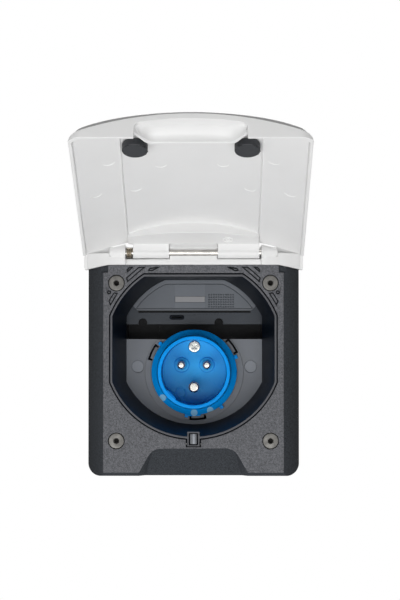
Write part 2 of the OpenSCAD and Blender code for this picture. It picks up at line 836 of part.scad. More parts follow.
module inlet_body() {
  out_r = shroud_r + shroud_wall;
  color([0.02, 0.45, 0.85]) difference() {
    union() {
      translate([0, 0, inlet_z]) rotate([-90, 0, 0]) rotate_extrude($fn = 144) polygon([[0, rim_y0],
        [out_r - rim_edge, rim_y0], [out_r, rim_y0 + rim_edge], [out_r + 0.9, plate_y - 9],
        [base_ring_r - 0.4, seat_y - 5], [base_ring_r, seat_y - 4.4], [base_ring_r, seat_y],
        [body_r, seat_y], [body_r, body_end - 1], [body_r - 1, body_end], [0, body_end]]);
      for (a = [20, 140, 260, 308]) translate([0, 0, inlet_z]) rotate([0, -a, 0])
        translate([base_ring_r - 2, seat_y - 2.5, -lug_w / 2]) cube([lug_len, 2.2, lug_w]);
      translate([-4.4, seat_y - 4.1, inlet_z - base_ring_r - 0.7]) cube([8.8, 3.7, 3]);
      difference() {
        rod_y(body_r + seal_w, plate_y + plate_t + seal_t, plate_y + plate_t + 4, 0, inlet_z);
        rod_y(body_r - 1, plate_y, plate_y + 9, 0, inlet_z);
      }
    }
    difference() {
      rod_y(shroud_r, rim_y0 - 1, carrier_y + carrier_t - 6, 0, inlet_z);
      translate([0, 0, inlet_z]) rotate([0, -225, 0]) translate([shroud_r - key_in, rim_y0 - 2, -key_w / 2])
        cube([6, carrier_y - rim_y0 + 1.5, key_w]);
    }
    rod_y(shroud_r - 2.5, carrier_y, body_end + 1, 0, inlet_z);
    difference() {
      cone_y(shroud_r + rim_edge, shroud_r, rim_y0 - 0.01, rim_y0 + rim_edge, 0, inlet_z);
      translate([0, 0, inlet_z]) rotate([0, -225, 0]) translate([shroud_r - key_in, rim_y0 - 2, -key_w / 2])
        cube([6, 6, key_w]);
    }
  }
}

function pin_x(i) = pin_circle * cos(150 - 120 * i);
function pin_z(i) = inlet_z + pin_circle * sin(150 - 120 * i);

module pin_carrier() {
  y0 = carrier_y;
  color([0.03, 0.48, 0.88]) difference() {
    union() {
      rod_y(shroud_r - fit_gap, y0, y0 + carrier_t - 6 - fit_gap, 0, inlet_z);
      rod_y(shroud_r - 2.5 - fit_gap, y0 + 1, y0 + carrier_t, 0, inlet_z);
      for (i = [0, 1]) rod_y(collar_r, y0 - 1.2, y0 + 1, pin_x(i), pin_z(i));
    }
    for (i = [0, 1]) rod_y(pin_r - shank_less + fit_gap, y0 - 3, y0 + carrier_t + 1, pin_x(i), pin_z(i));
    for (i = [0, 1]) rod_y(pin_r + pin_gap, y0 - 3, y0 - collar_deep, pin_x(i), pin_z(i));
    for (i = [0, 1]) difference() {
      rod_y(collar_r + collar_groove, y0 - 1, y0 + 0.9, pin_x(i), pin_z(i));
      rod_y(collar_r, y0 - 2, y0 + 1, pin_x(i), pin_z(i));
    }
    rod_y(earth_r - shank_less + fit_gap, y0 - 3, y0 + carrier_t + 1, pin_x(2), pin_z(2));
    rod_y(carrier_screw_r + fit_gap, y0 - 3, y0 + carrier_t + 1, 0, inlet_z + carrier_screw_z);
    rod_y(carrier_head_r + 0.3, y0 - 1, y0 + 1.2, 0, inlet_z + carrier_screw_z - 0.1);
    difference() {
      rod_y(4, y0 - 1, y0 + 0.8, -9.6, inlet_z - 14.2);
      rod_y(3, y0 - 2, y0 + 2, -9.6, inlet_z - 14.2);
    }
  }
}

module contact_pin(i, r) {
  tip = carrier_y - pin_out;
  color([0.8, 0.8, 0.78]) {
    rod_y(r, tip + 0.9, shank_y, pin_x(i), pin_z(i));
    rod_y(r - shank_less, shank_y - 0.1, terminal_y + 6, pin_x(i), pin_z(i));
    cone_y(r - 0.9, r, tip, tip + 0.91, pin_x(i), pin_z(i));
  }
}

module pin_line() {
  contact_pin(0, pin_r);
}

module pin_neutral() {
  contact_pin(1, pin_r);
}

module pin_earth() {
  contact_pin(2, earth_r);
}

module carrier_screw() {
  z = inlet_z + carrier_screw_z;
  color([0.75, 0.75, 0.72]) difference() {
    union() {
      rod_y(carrier_head_r, carrier_y - 0.9, carrier_y + 1.2, 0, z);
      rod_y(carrier_screw_r, carrier_y + 1, carrier_y + carrier_t - 1, 0, z);
    }
    for (a = [45, 135]) translate([0, carrier_y - 2, z]) rotate([0, a, 0])
      translate([-2.2, 0, -0.45]) cube([4.4, 2.2, 0.9]);
  }
}

module terminal(i, r) {
  color([0.75, 0.6, 0.3]) difference() {
    translate([pin_x(i) - terminal_w / 2, terminal_y + fit_gap, pin_z(i) - terminal_w / 2])
      cube([terminal_w, terminal_len, terminal_w]);
    rod_y(r - shank_less + fit_gap, terminal_y - 1, terminal_y + 6.1, pin_x(i), pin_z(i));
    rod_y(wire_r, terminal_y + 6, terminal_y + terminal_len + 1, pin_x(i), pin_z(i));
    translate([pin_x(i), clamp_y, pin_z(i)]) cylinder(r = clamp_r + fit_gap, h = terminal_w);
  }
}

module terminal_line() {
  terminal(0, pin_r);
}

module terminal_neutral() {
  terminal(1, pin_r);
}

module terminal_earth() {
  terminal(2, earth_r);
}

module terminal_screws() {
  color([0.7, 0.7, 0.68]) for (i = [0 : 2]) {
    translate([pin_x(i), clamp_y, pin_z(i) + 2.4]) cylinder(r = clamp_r, h = 3);
    translate([pin_x(i), clamp_y, pin_z(i) + terminal_w / 2 + fit_gap]) cylinder(r = clamp_head_r, h = 1.4);
  }
}

module panel_frame() {
  color([0.3, 0.31, 0.33]) difference() {
    along_y(panel_y + 2, panel_y + 4) intersection() {
      pot_2d(pot_wall + fit_gap);
      translate([-60, strip_low]) square([120, 60]);
    }
    for (x = [-35.4, 16.7]) rod_y(3, panel_y, panel_y + 9, x, 26.4);
    translate([-38.4, panel_y, panel_low - slit_w]) cube([76.8, 9, slit_w]);
    along_y(panel_y - 1, panel_y + 9)
      slot_2d(clip_x - clip_half, clip_z, clip_x + clip_half, clip_z, clip_r + label_gap);
  }
}

module service_panel() {
  color([0.5, 0.52, 0.54]) difference() {
    along_y(panel_y, panel_y + 2) intersection() {
      pot_2d(pot_wall + panel_gap);
      polygon([[-38.4, panel_low], [38.4, panel_low], [41.5, panel_low + 3], [60, 70], [-60, 70],
        [-41.5, panel_low + 3]]);
    }
    along_y(panel_y - 1, panel_y + 0.4) difference() {
      intersection() {
        pot_2d(pot_wall + panel_edge);
        translate([-60, panel_low + panel_rise]) square([120, 60]);
      }
      intersection() {
        pot_2d(pot_wall + panel_edge + panel_line);
        translate([-60, panel_low + panel_rise + panel_line]) square([120, 60]);
      }
    }
    translate([label_x - label_gap, panel_y - 1, label_z - label_gap])
      cube([label_w + 2 * label_gap, 1.3, label_h + 2 * label_gap]);
    for (i = [0 : 10], j = [0 : 5])
      translate([cell_x + cell_step * i, panel_y - 1, cell_z + cell_step * j])
        cube([cell_w, 1 + cell_deep, cell_w]);
  }
}

module panel_label() {
  color([0.75, 0.76, 0.77]) translate([label_x, panel_y - 0.1, label_z])
    cube([label_w, 0.4, label_h]);
}

module panel_clip() {
  color([0.22, 0.23, 0.25]) along_y(panel_y + 1.2, panel_y + 4.6) difference() {
    slot_2d(clip_x - clip_half, clip_z, clip_x + clip_half, clip_z, clip_r);
    slot_2d(clip_x - clip_half + 0.4, clip_z, clip_x + clip_half - 0.4, clip_z, clip_r / 2);
  }
}

module rear_cover() {
  color([0.16, 0.17, 0.19]) difference() {
    along_y(pot_end, pot_end + cover_t) pot_2d(0);
    cover_holes(cover_screw_r + screw_clear, pot_end - 1, pot_end + cover_t + 1);
    for (i = [-2 : 2]) translate([-24, pot_end + cover_t - 0.8, recess_z - 0.75 + 9 * i]) cube([48, 2, 1.5]);
  }
}

module cover_screws() {
  color([0.6, 0.6, 0.6]) {
    cover_holes(cover_screw_r, pot_end - 8, pot_end + cover_t + 0.1);
    cover_holes(cover_head_r, pot_end + cover_t, pot_end + cover_t + pot_head_t);
  }
}

module gland_body() {
  color([0.5, 0.5, 0.5]) difference() {
    union() {
      translate([0, gland_y, gland_low - gland_hex_t]) cylinder(r = gland_hex_r, h = gland_hex_t, $fn = 6);
      translate([0, gland_y, gland_low - gland_neck])
        cylinder(r = gland_neck_r, h = gland_neck - gland_hex_t + 0.5);
      translate([0, gland_y, gland_low - 1]) cylinder(r = gland_thread_r, h = gland_thread_in + 1);
    }
    translate([0, gland_y, gland_low - nut_low]) cylinder(r = gland_bore + gland_bore_gap, h = 40);
  }
}

module gland_seal() {
  color([0.1, 0.1, 0.1]) difference() {
    translate([0, gland_y, gland_low - nut_low + 0.6]) cylinder(r = gland_bore + gland_bore_gap - 0.1, h = 7);
    translate([0, gland_y, gland_low - 20]) cylinder(r = gland_bore - 2, h = 40);
  }
}

module gland_nut() {
  color([0.48, 0.48, 0.48]) difference() {
    union() {
      translate([0, gland_y, gland_low - nut_low]) cylinder(r = gland_hex_r - 1.4, h = nut_t, $fn = 6);
      translate([0, gland_y, gland_low - nut_low - nut_cap])
        cylinder(r1 = gland_neck_r + 0.4, r2 = gland_neck_r + 2, h = nut_cap + 0.2);
    }
    translate([0, gland_y, gland_low - gland_neck - 0.1]) cylinder(r = gland_neck_r + fit_gap, h = 20);
    translate([0, gland_y, gland_low - 20]) cylinder(r = gland_bore + gland_bore_gap, h = 40);
  }
}

front_frame();
wall_gasket();
frame_screws();
recess_funnel();
lock_tongue();
hinge_base();
base_screws();
hinge_pin();
hinge_spring();
lid_cover();
buffer_left();
buffer_right();
rear_pot();
pot_screws();
inlet_plate();
plate_screws();
inlet_seal();
inlet_body();
pin_carrier();
pin_line();
pin_neutral();
pin_earth();
carrier_screw();
terminal_line();
terminal_neutral();
terminal_earth();
terminal_screws();
panel_frame();
service_panel();
panel_label();
panel_clip();
rear_cover();
cover_screws();
gland_body();
gland_seal();
gland_nut();
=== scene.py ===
import json
import math

import bmesh
import bpy
import numpy as np
from bpy.props import FloatProperty, FloatVectorProperty, PointerProperty
from bpy.types import Operator, Panel, PropertyGroup
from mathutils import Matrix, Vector


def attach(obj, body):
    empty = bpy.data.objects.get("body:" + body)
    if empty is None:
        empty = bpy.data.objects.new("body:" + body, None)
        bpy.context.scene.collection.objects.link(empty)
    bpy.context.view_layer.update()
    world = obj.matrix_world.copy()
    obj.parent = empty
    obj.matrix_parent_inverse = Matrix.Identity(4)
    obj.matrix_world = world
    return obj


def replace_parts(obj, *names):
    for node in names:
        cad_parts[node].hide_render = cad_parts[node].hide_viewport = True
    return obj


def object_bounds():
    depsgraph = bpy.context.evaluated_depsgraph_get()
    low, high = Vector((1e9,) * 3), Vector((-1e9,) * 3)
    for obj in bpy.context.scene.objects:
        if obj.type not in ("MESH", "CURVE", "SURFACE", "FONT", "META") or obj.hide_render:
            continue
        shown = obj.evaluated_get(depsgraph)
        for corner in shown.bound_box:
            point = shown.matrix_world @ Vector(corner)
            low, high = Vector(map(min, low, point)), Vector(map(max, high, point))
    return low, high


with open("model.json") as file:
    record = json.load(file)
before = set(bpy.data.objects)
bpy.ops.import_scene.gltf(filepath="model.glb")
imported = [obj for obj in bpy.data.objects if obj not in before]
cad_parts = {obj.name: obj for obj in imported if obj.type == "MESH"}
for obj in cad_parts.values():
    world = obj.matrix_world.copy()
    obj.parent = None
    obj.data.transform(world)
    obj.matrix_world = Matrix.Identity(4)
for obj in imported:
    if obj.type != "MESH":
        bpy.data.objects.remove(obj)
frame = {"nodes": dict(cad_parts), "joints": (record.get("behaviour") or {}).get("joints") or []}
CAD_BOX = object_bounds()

bl_info = {
    "name": "Outdoor Inlet Dresser",
    "version": (1, 0, 0),
    "blender": (4, 5, 0),
    "location": "View3D > Sidebar > Inlet",
    "description": "Gives the outdoor power inlet its finishes, soft edges and turned parts",
    "category": "Object",
}

MM = 0.001
NODES = frame["nodes"]
HINGE = Vector(frame["joints"][0]["pos_m"])
OPENING = math.radians(frame["joints"][0]["range_deg"][1])
HOUSING, LID = "housing", "lid"

# Places, sizes and depths are in millimetres down to the lamps. Pairs are X and Z.
MERGE, TINY = 0.004, 0.0005
SHARP_ANGLE, EDGE_SEGMENTS = math.radians(32), 2

# Housing
SCREW_X, SCREW_Z, HEX_SHADE_R = 50.5, 51.7, 1.7
SCREWS = [(sx * SCREW_X, sz * SCREW_Z) for sx in (-1, 1) for sz in (-1, 1)]
INLET_AXIS, BORE_R = (0.0, -7.3), 22.0
# Painted highlights: pale spots on the base of the inlet that stand for glints of light.
GLINT_SPOTS, GLINT_SPOT_R = ((-21.2, -24.5), (0.0, -34.6), (10.9, -33.0)), 2.4
FRAME_FRONT, FUNNEL_FRONT, FRONT_FADE = -20.95, -21.7, 0.2
POCKET_SHADE_Y, POCKET_SHADE_FADE, COVER_INSIDE_Y, COVER_FADE = 34.15, 0.2, 66.3, 0.3
SIDE_SHADE_NEAR, SIDE_SHADE_FAR = 58.0, 69.5
PANEL_PALE = ((-13.4, 36.0), (7.3, 53.0))
PANEL_SHADE = ((-45.0, 33.0), (45.0, 34.8))
STRIP_SHADE = ((-38.6, 33.1), (38.6, 34.4))
TONGUE_SHINE = ((-0.7, -70.0), (1.1, -40.0))
SPRING_X, SPRING_R, SPRING_TURNS = (-43.8, -40.0), 2.7, 3.4

# Lid, closed
SKIN_Y, DOME_R, LID_WALL, LEAF_Y = -33.5, 190.0, 2.0, -24.0
LID_LOW, LID_TOP, LID_HALF, LID_CORNER, SKIN_HALF = -77.7, 69.0, 73.2, 9.0, 69.4
NOTCH_FLOOR, NOTCH_EDGE, NOTCH_TURN = SKIN_Y + 3.7, -21.75, 5.0
NOTCH_PATH = ((-32.8, -75.0), (-24.5, -63.8), (24.5, -63.8), (32.8, -75.0))
EJECTORS = ((-50.0, -36.5), (-18.9, -24.5), (-35.1, 0.5), (-59.7, -3.0), (19.1, -25.1),
            (49.9, -37.5), (36.0, 0.3), (60.7, -4.6))
EJECTOR_R, EJECTOR_SPAN = 3.7, (15.0, 165.0)
EJECTOR_WIDE, EJECTOR_HIGH = 0.4, 0.3
LEAF_RING, LEAF_RING_R, FULL_SPAN = (22.5, 60.0), (3.0, 1.2), (0.0, 360.0)
LEAF_RING_WIDE, LEAF_RING_HIGH = 0.42, 0.4
EDGE_SHADE_START, EDGE_SHADE_FULL = 1.3, 0.5

# Trim beside the hinge pin: corners of Y and Z from the hinge axis, half length and corner round
BED = (((-0.53, -5.0), (3.0, -5.0), (3.0, -1.82), (-0.53, -1.82)), 15.6, 0.25)
LIP = (((-5.2, -3.4), (-1.95, -3.4), (-1.95, 1.2), (-5.2, 1.2)), 15.7, 0.3)

# Wall screw: Y, radius and the share of the hexagon
SCREW_TIP = ((20.0, 0.0, 0), (20.0, 0.9, 0), (19.2, 1.55, 0))
SCREW_HEAD = ((-1.3, 1.6, 0), (-18.45, 1.6, 0), (-18.6, 1.75, 0), (-18.6, 4.85, 0),
              (-18.65, 5.02, 0), (-18.85, 5.08, 0), (-20.55, 5.08, 0), (-20.75, 5.03, 0),
              (-20.88, 4.9, 0), (-20.94, 4.7, 0), (-20.97, 4.4, 0), (-21.0, 3.6, 0),
              (-21.02, 2.6, 0), (-21.02, 2.3, 0.5), (-21.0, 2.16, 1), (-20.9, 2.05, 1),
              (-20.7, 2.0, 1), (-19.1, 2.0, 1), (-19.02, 1.94, 1), (-19.0, 1.8, 1),
              (-18.9, 0.9, 0.5), (-18.6, 0.0, 0))
THREAD_END, THREAD_START, THREAD_STEP = 19.0, -1.2, 0.1
THREAD_CORE, THREAD_RISE, THREAD_PITCH = 1.62, 0.36, 1.4
THREAD = 2

GRAIN_SCALE, DRIFT_SCALE, MARK_SCALE, TONE_SCALE = 2000.0, 30.0, 3000.0, 260.0
# Moulded finishes: name, colour, how much lighter, roughness, share of the grain scale, depth of
# the grain, drift of the tone, specular level
MOULDED = (
    ("lid_white", "lid_white", 0.0, 0.36, 0.8, 0.004, 0.015, 0.3),
    ("skin_white", "lid_white", 0.0, 0.36, 0.8, 0.004, 0.015, 0.3),
    # Painted highlight: the ejector arcs and the rings on the leaf are a lighter white, for the
    # light they catch.
    ("mark_white", "lid_white", 0.12, 0.36, 0.8, 0.004, 0.015, 0.3),
    ("plate_grey", "plate_grey", 0.0, 0.42, 0.6, 0.004, 0.08, 0.25),
    ("dimple_grey", "plate_grey", 0.3, 0.38, 0.6, 0.004, 0.08, 0.25),
    ("panel_grey", "panel_grey", 0.0, 0.34, 0.6, 0.003, 0.08, 0.25),
    ("strip_grey", "strip_grey", 0.0, 0.36, 0.6, 0.003, 0.08, 0.2),
    ("tongue_grey", "strip_grey", 0.0, 0.3, 0.6, 0.003, 0.1, 0.5),
    ("label_blank", "label_grey", 0.0, 0.5, 1.5, 0.003, 0.03, 0.5),
    ("inlet_blue", "inlet_blue", 0.0, 0.3, 0.7, 0.003, 0.06, 0.06),
    ("carrier_blue", "carrier_blue", 0.0, 0.3, 0.7, 0.003, 0.1, 0.15),
    ("rubber_black", "rubber", 0.0, 0.6, 1.2, 0.01, 0.12, 0.5),
    ("pot_black", "pot_black", 0.0, 0.42, 1.0, 0.01, 0.1, 0.4),
    # Painted shade: the front of the rear cover is half as dark as the funnel black, as shade of
    # the deep gap in front of it.
    ("cover_black", "funnel_black", -0.5, 0.42, 1.0, 0.01, 0.1, 0.2),
    ("gland_grey", "gland_grey", 0.0, 0.45, 1.0, 0.006, 0.08, 0.5),
)
# Metal finishes: name, colour, roughness, scale and depth of the marks
METALS = (
    ("steel_turned", "steel", 0.42, 2600.0, 0.012),
    ("screw_head", "steel", 0.5, 2600.0, 0.012),
    ("zinc_plate", "zinc", 0.2, 1200.0, 0.004),
    ("steel_bright", "bright_steel", 0.16, 900.0, 0.003),
    ("spring_wire", "spring_steel", 0.38, 1800.0, 0.006),
    ("nickel_plate", "nickel", 0.14, 900.0, 0.003),
    ("brass_milled", "brass", 0.34, 1600.0, 0.006),
)
# Nodes of each step: finish, setting for the soft edge, share of that edge, nodes
HOUSING_DRESS = (
    ("frame_grain", "frame_edge", 1.0, ("front_frame",)),
    ("funnel_satin", "funnel_edge", 1.0, ("recess_funnel",)),
    ("lid_white", "base_edge", 1.0, ("hinge_base",)),
    ("plate_grey", "small_edge", 1.0, ("inlet_plate",)),
    ("inlet_blue", "inlet_edge", 1.0, ("inlet_body",)),
    ("carrier_blue", "small_edge", 1.0, ("pin_carrier",)),
    ("panel_grey", "small_edge", 1.0, ("service_panel",)),
    ("strip_grey", "small_edge", 1.0, ("panel_frame",)),
    ("label_blank", "small_edge", 0.5, ("panel_label",)),
    ("funnel_satin", "small_edge", 1.0, ("panel_clip",)),
    ("tongue_grey", "small_edge", 2.0, ("lock_tongue",)),
    ("rubber_black", "small_edge", 1.0, ("wall_gasket", "inlet_seal", "gland_seal")),
    ("pot_black", "funnel_edge", 1.0, ("rear_pot",)),
    ("cover_black", "funnel_edge", 1.0, ("rear_cover",)),
    ("gland_grey", "funnel_edge", 1.0, ("gland_body", "gland_nut")),
)
METAL_DRESS = (
    ("steel_turned", "small_edge", 1.0,
     ("base_screws", "pot_screws", "cover_screws", "terminal_screws")),
    ("zinc_plate", "small_edge", 1.0, ("carrier_screw",)),
    ("dimple_grey", "small_edge", 1.0, ("plate_screws",)),
    ("steel_bright", "small_edge", 1.0, ("hinge_pin",)),
    ("nickel_plate", "small_edge", 1.0, ("pin_line", "pin_neutral", "pin_earth")),
    ("brass_milled", "small_edge", 1.0, ("terminal_line", "terminal_neutral", "terminal_earth")),
)
LID_DRESS = (
    ("lid_white", "lid_edge", 1.0, ("lid_cover",)),
    ("rubber_black", "base_edge", 1.0, ("buffer_left", "buffer_right")),
)
# Lamps: name, place and aim in metres, setting for the power, width and height in metres
STAGE_MIDDLE = (0.0, -0.03, 0.03)
LAMPS = (
    ("key", (-0.12, -1.33, -0.45), STAGE_MIDDLE, "key_power", 1.5, 0.72),
    ("top", (0.0, -0.8, 1.6), (0.0, -0.1, 0.12), "top_power", 1.1, 0.7),
    ("back", (0.0, 1.2, 1.1), STAGE_MIDDLE, "back_power", 1.2, 1.0),
    ("left", (-1.4, 0.9, 0.2), STAGE_MIDDLE, "side_power", 0.9, 1.0),
    ("right", (1.4, 0.9, 0.2), STAGE_MIDDLE, "side_power", 0.9, 1.0),
)
WHITE = (1.0, 1.0, 1.0, 1.0)
FLOOR_TONE, FLOOR_ROUGH, FLOOR_HALF = (0.9, 0.9, 0.9, 1.0), 0.9, 6.0
SHADOW_NEAR, SHADOW_FAR, SHADOW_WHITE = 0.18, 0.7, 0.85
SENSOR, CLIP_END = 36.0, 50.0


def colour(name, text, value):
    """One colour that a user would change, in linear light."""
    return FloatVectorProperty(name=name, description=text, default=value, size=3, min=0.0,
                               max=1.0, subtype="COLOR")


def length(name, text, value):
    """One size that a user would change, written in millimetres and kept in metres."""
    return FloatProperty(name=name, description=text, default=value * MM, min=0.0, unit="LENGTH",
                         subtype="DISTANCE", precision=5)


def power(name, text, value):
    """The power of one lamp."""
    return FloatProperty(name=name, description=text, default=value, unit="POWER")


class InletColours(PropertyGroup):
    """Colours of the moulded and metal pieces."""
    lid_white: colour("Lid white", "moulded white of the lid and the hinge base",
                      (0.775, 0.775, 0.772))
    frame_grey: colour("Frame grey", "grained grey of the flat front", (0.125, 0.128, 0.139))
    frame_smooth: colour("Frame smooth", "smooth grey of the sides and the scoop",
                         (0.036, 0.040, 0.046))
    funnel_black: colour("Funnel black", "blue black of the recess funnel", (0.003, 0.006, 0.012))
    pot_black: colour("Pot black", "black of the pot and the cover behind the wall",
                      (0.022, 0.023, 0.026))
    plate_grey: colour("Plate grey", "grey of the inlet plate", (0.185, 0.198, 0.220))
    panel_grey: colour("Panel grey", "grey of the upper panel", (0.132, 0.145, 0.165))
    strip_grey: colour("Strip grey", "dark grey of the strip below the panel",
                       (0.048, 0.056, 0.068))
    label_grey: colour("Label grey", "pale grey of the blank label", (0.27, 0.27, 0.28))
    inlet_blue: colour("Inlet blue", "blue of the inlet shroud", (0.002, 0.33, 0.94))
    carrier_blue: colour("Carrier blue", "blue of the disc that holds the pins",
                         (0.030, 0.45, 0.95))
    # Painted shade: the inside of the shroud gets a darker blue for the shade in the deep bore.
    bore_shade_blue: colour("Bore blue", "deep blue of the inside of the shroud", (0.001, 0.19, 0.64))
    # Painted highlights: the pale spots on the base of the inlet stand for glints of light.
    glint_blue: colour("Mark blue", "pale mould marks on the base of the inlet",
                      (0.30, 0.66, 1.00))
    steel: colour("Steel", "turned stainless steel", (0.115, 0.112, 0.106))
    zinc: colour("Zinc", "bright plating of the carrier screw", (0.40, 0.41, 0.39))
    bright_steel: colour("Bright steel", "polished steel of the hinge pin", (0.60, 0.58, 0.55))
    spring_steel: colour("Spring steel", "drawn wire of the hinge spring", (0.30, 0.26, 0.20))
    nickel: colour("Nickel", "nickel plating of the contact pins", (0.50, 0.49, 0.46))
    brass: colour("Brass", "milled brass of the terminals", (0.62, 0.42, 0.14))
    rubber: colour("Rubber", "black rubber of the buffers and seals", (0.024, 0.026, 0.030))
    gland_grey: colour("Gland grey", "grey plastic of the cable gland", (0.16, 0.16, 0.17))


class InletSizes(PropertyGroup):
    """Sizes of the edges and the turned pieces."""
    lid_edge: length("Lid edge", "round on the edges of the lid", 0.3)
    base_edge: length("Base edge", "round on the edges of the hinge base", 0.6)
    frame_edge: length("Frame edge", "round on the edges of the frame", 0.18)
    funnel_edge: length("Funnel edge", "round on the edges of the funnel", 0.35)
    inlet_edge: length("Inlet edge", "round on the edges of the blue inlet", 0.3)
    small_edge: length("Small edge", "round on the edges of small pieces", 0.12)
    grain: length("Grain", "size of the moulded grain on the frame", 0.42)
    wire: length("Spring wire", "radius of the spring wire", 0.55)


class InletStage(PropertyGroup):
    """Camera, floor and lamps."""
    eye: FloatVectorProperty(name="Eye", description="place of the camera", unit="LENGTH",
                             subtype="TRANSLATION", default=(0.014976, -1.24734, 0.01049))
    yaw: FloatProperty(name="Yaw", description="turn of the camera to the left",
                       subtype="ANGLE", default=0.0087)
    pitch: FloatProperty(name="Pitch", description="upward tilt of the camera",
                         subtype="ANGLE", default=0.0245)
    lens: FloatProperty(name="Lens", description="focal length on a 36 mm sensor",
                        subtype="NONE", default=112.3)
    floor_drop: length("Floor drop", "height of the object above the floor", 800)
    key_power: power("Key power", "power of the wide lamp below the camera", 15.4)
    top_power: power("Top power", "power of the lamp above the lid", 6.0)
    back_power: power("Back power", "power of the lamp behind the object", 11.0)
    side_power: power("Side power", "power of the lamps at both sides", 2.5)
    sky: FloatProperty(name="Sky", description="strength of the even light", default=0.16)


def settings():
    """The three groups of settings of the open scene."""
    scene = bpy.context.scene
    return scene.inlet_colours, scene.inlet_sizes, scene.inlet_stage


def tint(base, amount):
    """A colour made lighter or darker by a share."""
    return tuple(max(0.0, min(1.0, c * (1.0 + amount))) for c in base)


class Shade:
    """A short hand for building one node tree."""

    def __init__(self, tree):
        self.tree = tree
        tree.nodes.clear()

    def put(self, socket, value):
        """Links an input socket to an output, or sets its value."""
        if isinstance(value, bpy.types.NodeSocket):
            self.tree.links.new(value, socket)
        else:
            socket.default_value = value

    def add(self, kind, values=(), **fields):
        """Adds one node, sets its fields and puts the values on its input sockets."""
        node = self.tree.nodes.new(kind)
        for name, value in fields.items():
            setattr(node, name, value)
        for key, value in dict(values).items():
            self.put(node.inputs[key], value)
        return node

    def mix(self, factor, low, high):
        """Colour that runs from low to high with factor."""
        ends = [c if isinstance(c, bpy.types.NodeSocket) else (*c, 1.0) for c in (low, high)]
        values = {0: factor, 6: ends[0], 7: ends[1]}
        return self.add("ShaderNodeMix", values, data_type="RGBA").outputs[2]

    def span(self, value, low, high, to_low, to_high):
        """Value carried from one range to another, held at both ends."""
        values = {0: value, 1: low, 2: high, 3: to_low, 4: to_high}
        return self.add("ShaderNodeMapRange", values).outputs[0]

    def maths(self, operation, a, b=0.0):
        """One arithmetic step on two values."""
        return self.add("ShaderNodeMath", {0: a, 1: b}, operation=operation).outputs[0]

    def vector(self, operation, a, *b):
        """One step on vectors."""
        values = dict(enumerate((a, *b)))
        return self.add("ShaderNodeVectorMath", values, operation=operation).outputs

    def noise(self, scale, detail):
        """A noise on object coordinates."""
        values = {"Vector": self.place(), "Scale": scale, "Detail": detail}
        return self.add("ShaderNodeTexNoise", values).outputs[0]

    def bump(self, height, depth):
        """A normal that follows a height."""
        values = {"Strength": 1.0, "Distance": depth, "Height": height}
        return self.add("ShaderNodeBump", values).outputs[0]

    def place(self):
        """Object coordinates, which are metres in the shared frame at rest."""
        return self.add("ShaderNodeTexCoord").outputs["Object"]

    def axis(self, letter):
        """One of the three object coordinates."""
        return self.add("ShaderNodeSeparateXYZ", {0: self.place()}).outputs[letter]

    def group(self, name, scale):
        """Places one shared group."""
        tree = bpy.data.node_groups[name]
        return self.add("ShaderNodeGroup", {"Scale": scale}, node_tree=tree).outputs

    def seen(self):
        """One for rays that show the white ground: from the camera, a gloss or a clear piece."""
        path = self.add("ShaderNodeLightPath").outputs
        direct = self.maths("ADD", path["Is Camera Ray"], path["Is Glossy Ray"])
        return self.maths("ADD", direct, path["Is Transmission Ray"])


class Finish(Shade):
    """One material with its Principled shader."""

    def __init__(self, name):
        self.material = bpy.data.materials.new(name)
        self.material.use_nodes = True
        super().__init__(self.material.node_tree)
        self.shader = self.add("ShaderNodeBsdfPrincipled")
        self.end = self.add("ShaderNodeOutputMaterial", {0: self.shader.outputs[0]})

    def set(self, name, value):
        """Puts a value on one socket of the shader."""
        self.put(self.shader.inputs[name], value)

    def over(self, mask, tone):
        """Lays a second colour over the base colour where the mask is one."""
        below = self.shader.inputs["Base Color"].links[0].from_socket
        self.set("Base Color", self.mix(mask, below, tone))


def new_group(name, scale, outputs):
    """An empty shader group with a scale as input and named float outputs."""
    tree = bpy.data.node_groups.new(name, "ShaderNodeTree")
    socket = tree.interface.new_socket("Scale", in_out="INPUT", socket_type="NodeSocketFloat")
    socket.default_value = scale
    for label in outputs:
        tree.interface.new_socket(label, in_out="OUTPUT", socket_type="NodeSocketFloat")
    shade = Shade(tree)
    start = shade.add("NodeGroupInput")
    end = shade.add("NodeGroupOutput")
    return shade, start.outputs["Scale"], end.inputs


def group_grain():
    """Moulded grain: a fine noise and a cell pattern give a height, and the fine noise with a
    wider one gives a fleck mask."""
    shade, scale, out = new_group("moulded_grain", GRAIN_SCALE, ["Height", "Flecks"])
    fine = shade.noise(scale, 2.0)
    wide = shade.noise(shade.maths("MULTIPLY", scale, 0.45), 1.0)
    cells = shade.add("ShaderNodeTexVoronoi", {"Vector": shade.place(), "Scale": scale}).outputs[0]

    def blend(a, share_a, b, share_b):
        """Two values added by shares."""
        return shade.maths("ADD", shade.maths("MULTIPLY", a, share_a),
                           shade.maths("MULTIPLY", b, share_b))

    shade.put(out["Height"], blend(fine, 0.6, cells, 0.5))
    shade.put(out["Flecks"], shade.span(blend(fine, 0.65, wide, 0.35), 0.36, 0.66, 0.0, 1.0))


def group_drift():
    """Slow tone drift of a moulding: one soft noise gives a tone, a finer one a gloss change."""
    shade, scale, out = new_group("mould_drift", DRIFT_SCALE, ["Tone", "Gloss"])
    soft = shade.noise(scale, 3.0)
    fine = shade.noise(shade.maths("MULTIPLY", scale, 14.0), 2.0)
    shade.put(out["Tone"], shade.span(soft, 0.3, 0.7, 0.0, 1.0))
    shade.put(out["Gloss"], shade.span(fine, 0.3, 0.7, 0.0, 1.0))


def group_worked():
    """Worked metal: a fine noise gives the height of the marks, a wide one a tone."""
    shade, scale, out = new_group("worked_metal", MARK_SCALE, ["Height", "Tone"])
    shade.put(out["Height"], shade.noise(scale, 2.0))
    shade.put(out["Tone"], shade.span(shade.noise(TONE_SCALE, 1.0), 0.3, 0.7, 0.0, 1.0))


